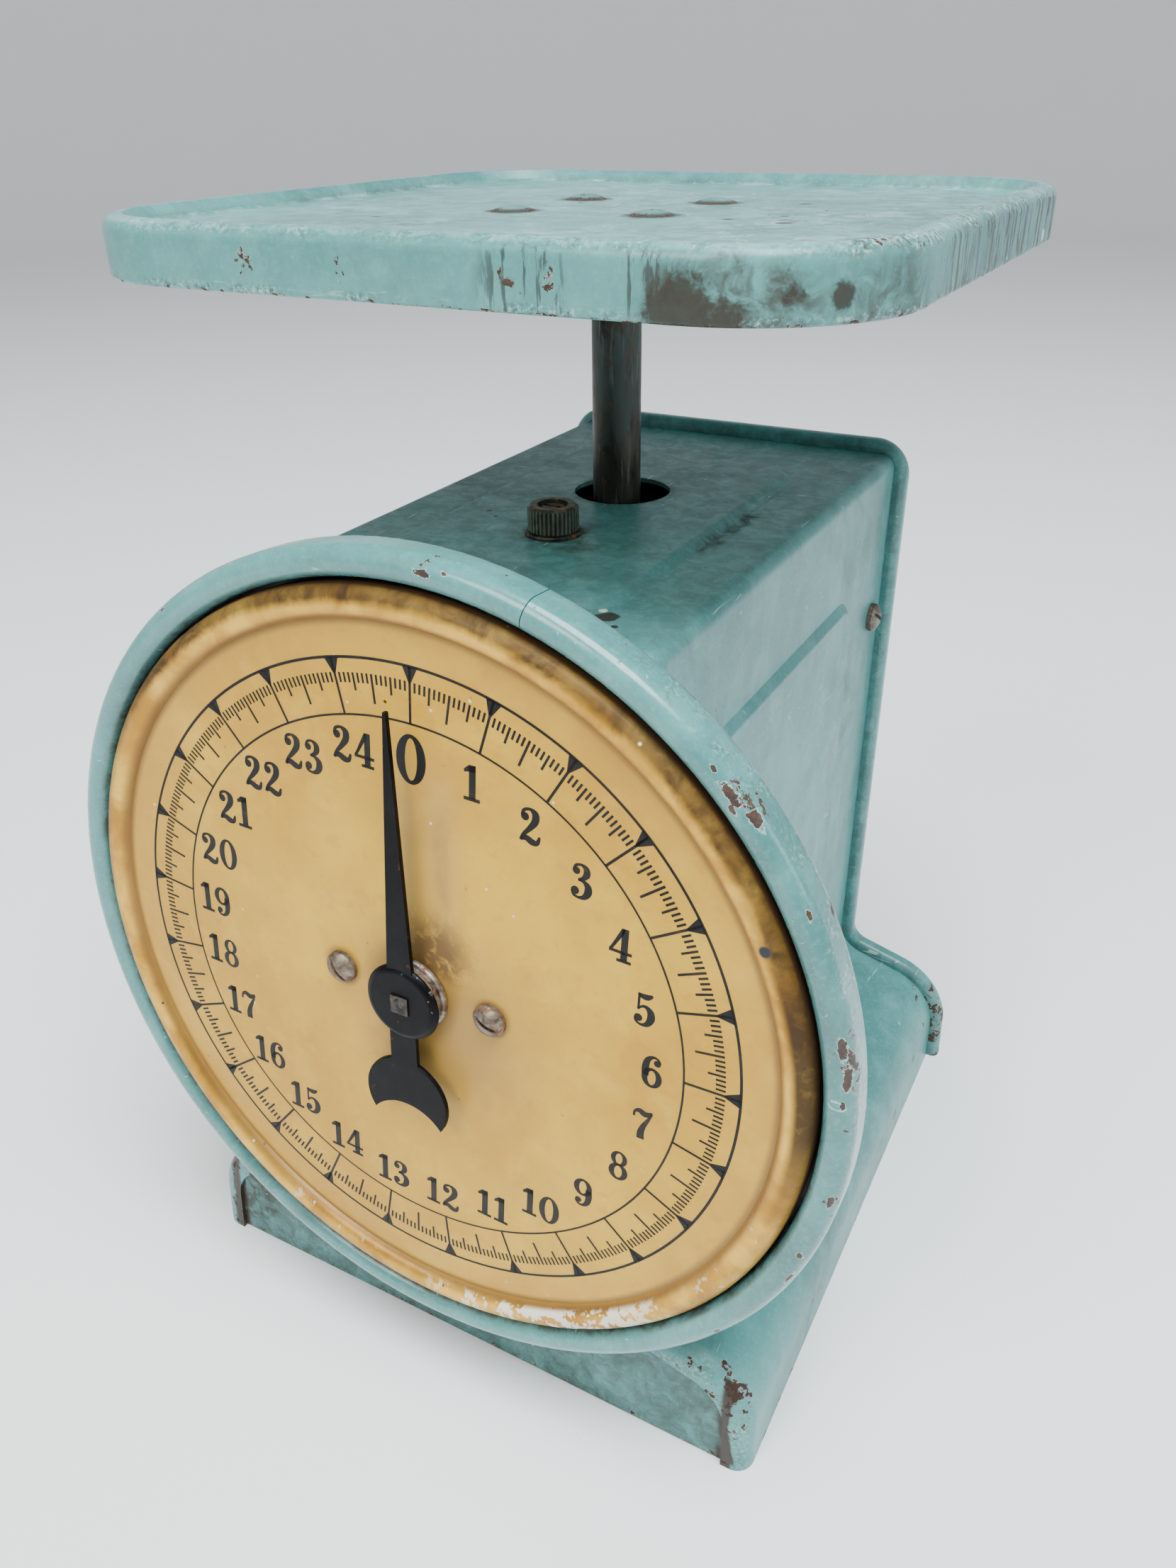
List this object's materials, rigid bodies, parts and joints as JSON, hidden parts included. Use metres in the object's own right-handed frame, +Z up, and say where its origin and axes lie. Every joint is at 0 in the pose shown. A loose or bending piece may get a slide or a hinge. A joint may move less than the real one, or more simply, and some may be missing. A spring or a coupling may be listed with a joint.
{
  "type": "household spring scale",
  "caption": "Upright dial spring scale: flared sheet-metal case, round leaning dial with one hand, square platform on a sliding post, zero adjuster on top.",
  "frame": {"origin": "centre of the footprint box at the floor", "axes": "+Z up; the dial faces -Y, leaning back four degrees; +X to the right as the dial is read"},
  "size_m": [0.168, 0.159, 0.2317],
  "materials": {
    "teal_paint": "satin",
    "dial_gold": "satin",
    "black_enamel": "gloss",
    "post_steel": "satin",
    "plated_steel": "satin",
    "stamped_steel": "matte",
    "spring_steel": "satin",
    "brass": "satin"
  },
  "bodies": {
    "case": {"case_wrap": "teal_paint", "front_panel": "teal_paint", "rear_panel": "teal_paint", "dial_housing": "teal_paint", "housing_rivets": "plated_steel", "bezel_ring": "teal_paint", "dial_plate": "dial_gold", "dial_screws": "plated_steel", "dial_spacers": "plated_steel", "dial_nuts": "plated_steel", "front_bush": "brass", "movement_bridge": "stamped_steel", "bridge_screws": "plated_steel", "rear_bush": "brass", "rack_guide": "brass", "guide_screw": "plated_steel", "pivot_bracket": "stamped_steel", "bracket_rivets": "teal_paint", "pivot_pin_upper": "plated_steel", "pivot_pin_lower": "plated_steel", "case_screws": "plated_steel", "adjuster_washer": "plated_steel"},
    "carriage": {"platform_tray": "teal_paint", "platform_spider": "stamped_steel", "platform_rivets": "teal_paint", "post": "post_steel", "post_nut": "plated_steel", "yoke": "stamped_steel", "yoke_pin_upper": "plated_steel", "yoke_pin_lower": "plated_steel", "spring_bar": "plated_steel", "rack": "brass", "rack_rivets": "brass"},
    "hand": {"pointer_hand": "black_enamel", "pointer_hub": "black_enamel", "pointer_shaft": "plated_steel", "pinion": "brass", "shaft_collar": "brass"},
    "upper_check": {"link_upper": "stamped_steel"},
    "lower_check": {"link_lower": "stamped_steel"},
    "zero_knob": {"adjuster_nut": "teal_paint"},
    "zero_screw": {"adjuster_screw": "plated_steel", "spring_hanger": "stamped_steel", "hanger_nut": "plated_steel", "spring_left": "spring_steel", "spring_right": "spring_steel"}
  },
  "joints": [
    {"name": "platform_travel", "type": "slide", "parent": "case", "child": "carriage", "axis": [0, 0, -1], "range_m": [0, 0.01889], "stiffness_N_per_m": 5884, "springref_m": -0.0008, "deforming": ["spring_left", "spring_right"]},
    {"name": "hand_turn", "type": "hinge", "parent": "case", "child": "hand", "pos_m": [0, -0.0722, 0.1033], "axis": [0, 0.9976, -0.0698], "range_deg": [0, 360.2]},
    {"name": "upper_check_tip", "type": "hinge", "parent": "case", "child": "upper_check", "pos_m": [0, 0.0648, 0.10255], "axis": [1, 0, 0], "range_deg": [0, 18]},
    {"name": "lower_check_tip", "type": "hinge", "parent": "case", "child": "lower_check", "pos_m": [0, 0.0648, 0.04855], "axis": [1, 0, 0], "range_deg": [0, 18]},
    {"name": "zero_turn", "type": "hinge", "parent": "case", "child": "zero_knob", "pos_m": [0, -0.0162, 0.177], "axis": [0, 0, 1], "range_deg": [-181, 181]},
    {"name": "zero_lift", "type": "slide", "parent": "case", "child": "zero_screw", "axis": [0, 0, 1], "range_m": [-0.0004, 0.0004]}
  ],
  "couplings": [
    {"joint": "hand_turn", "follows": "platform_travel", "rad_per_m": 332.52},
    {"joint": "upper_check_tip", "follows": "platform_travel", "rad_per_m": 16.531},
    {"joint": "lower_check_tip", "follows": "platform_travel", "rad_per_m": 16.531},
    {"joint": "zero_turn", "follows": "zero_lift", "rad_per_m": -7854}
  ]
}
